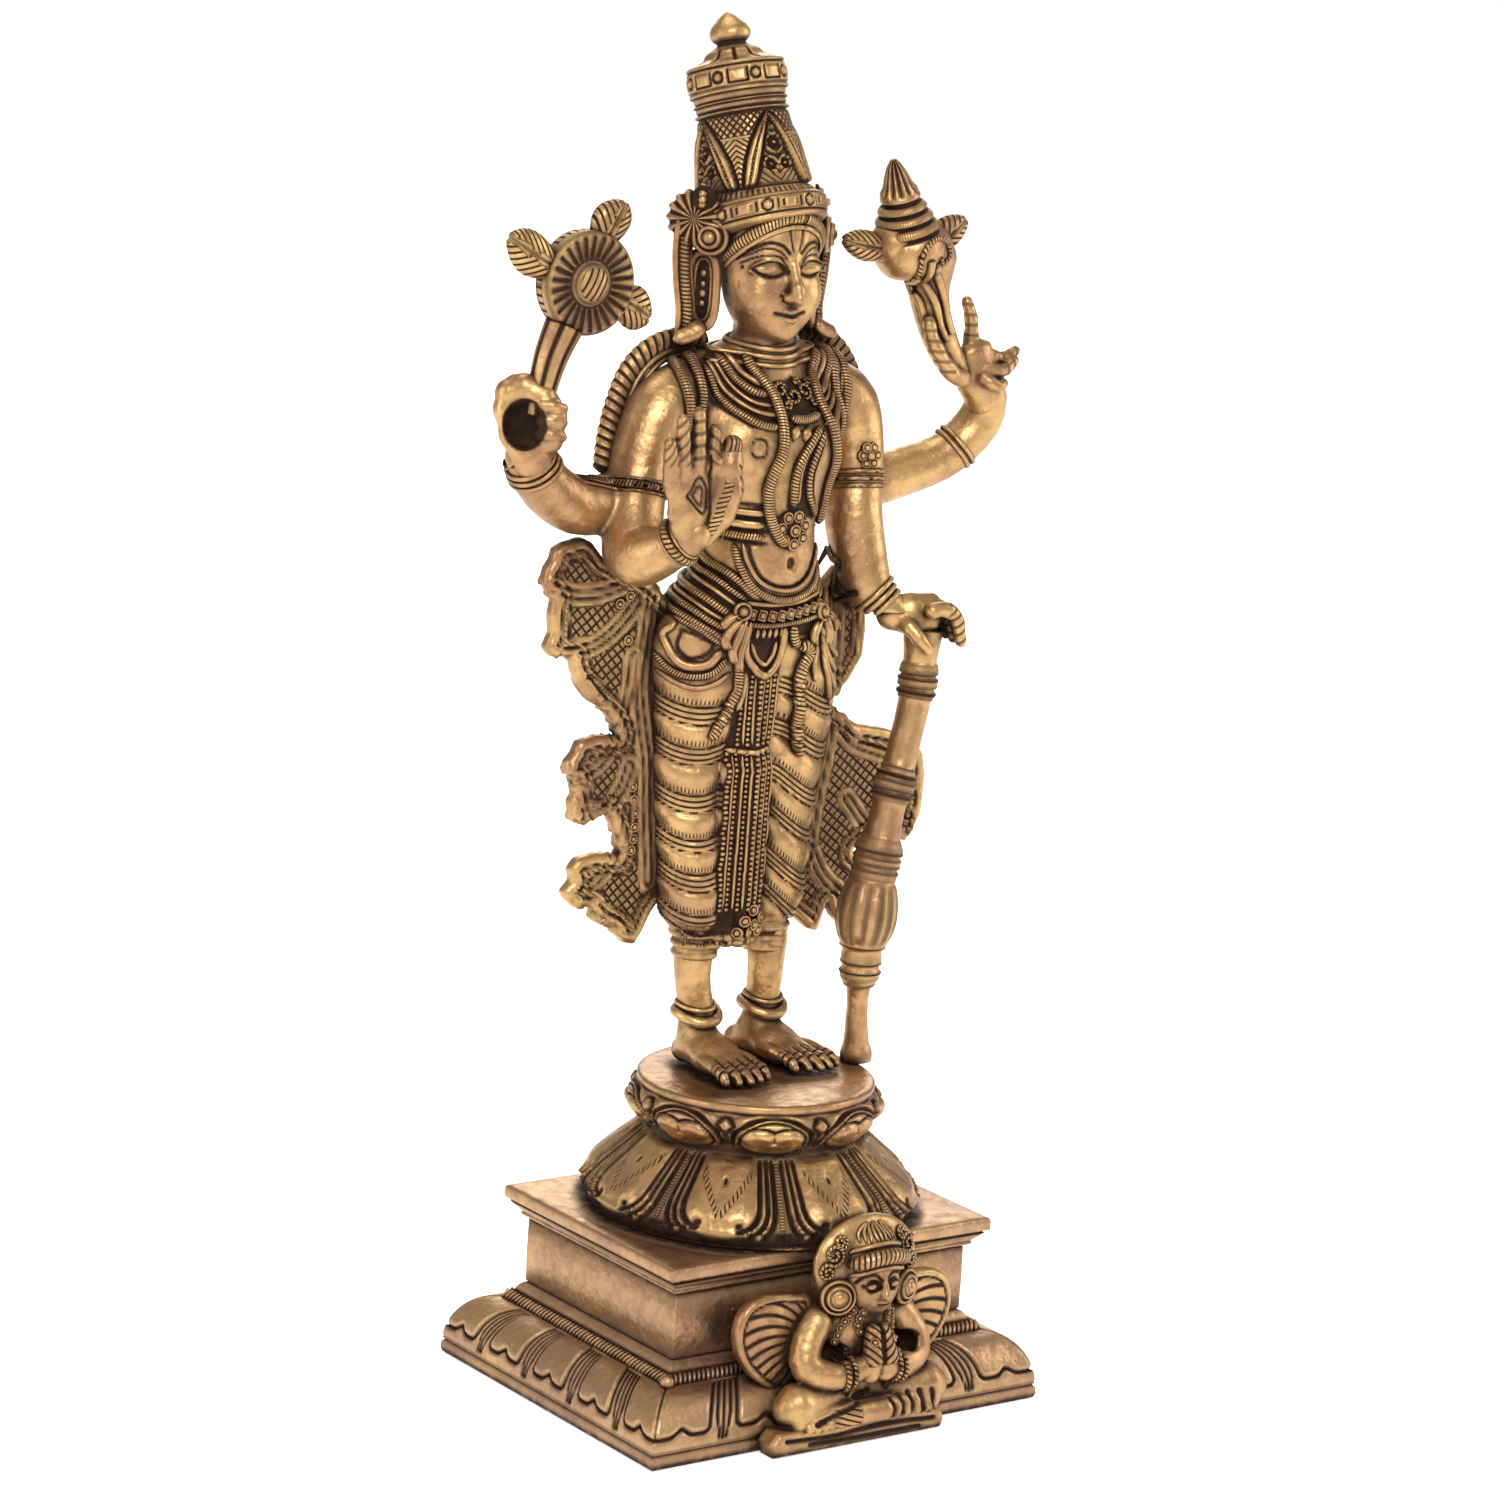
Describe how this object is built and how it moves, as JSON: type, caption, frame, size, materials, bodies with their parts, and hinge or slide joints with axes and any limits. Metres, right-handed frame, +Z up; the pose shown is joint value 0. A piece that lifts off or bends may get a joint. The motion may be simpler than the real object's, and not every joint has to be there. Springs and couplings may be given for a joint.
{
  "type": "vishnu figure",
  "caption": "Brass figure of Vishnu standing on a lotus, with discus, conch and mace, on a moulded plinth with a kneeling Garuda in front.",
  "frame": {"origin": "centre of the plinth's underside", "axes": "+Z up, the figure faces -Y, +X towards the viewer's right from the front"},
  "size_m": [0.1647, 0.1088, 0.3608],
  "materials": {
    "plinth_brass": "brushed, with a pinkish cast and dark patina in the carving",
    "lotus_brass": "brushed golden brass with dark patina in the carving",
    "figure_brass": "satin golden brass with dark patina in the chasing",
    "garuda_brass": "satin golden brass with dark patina in the chasing"
  },
  "bodies": {
    "root": {"plinth": "plinth_brass", "lotus_pedestal": "lotus_brass", "vishnu_figure": "figure_brass", "garuda_figure": "garuda_brass"}
  },
  "joints": []
}
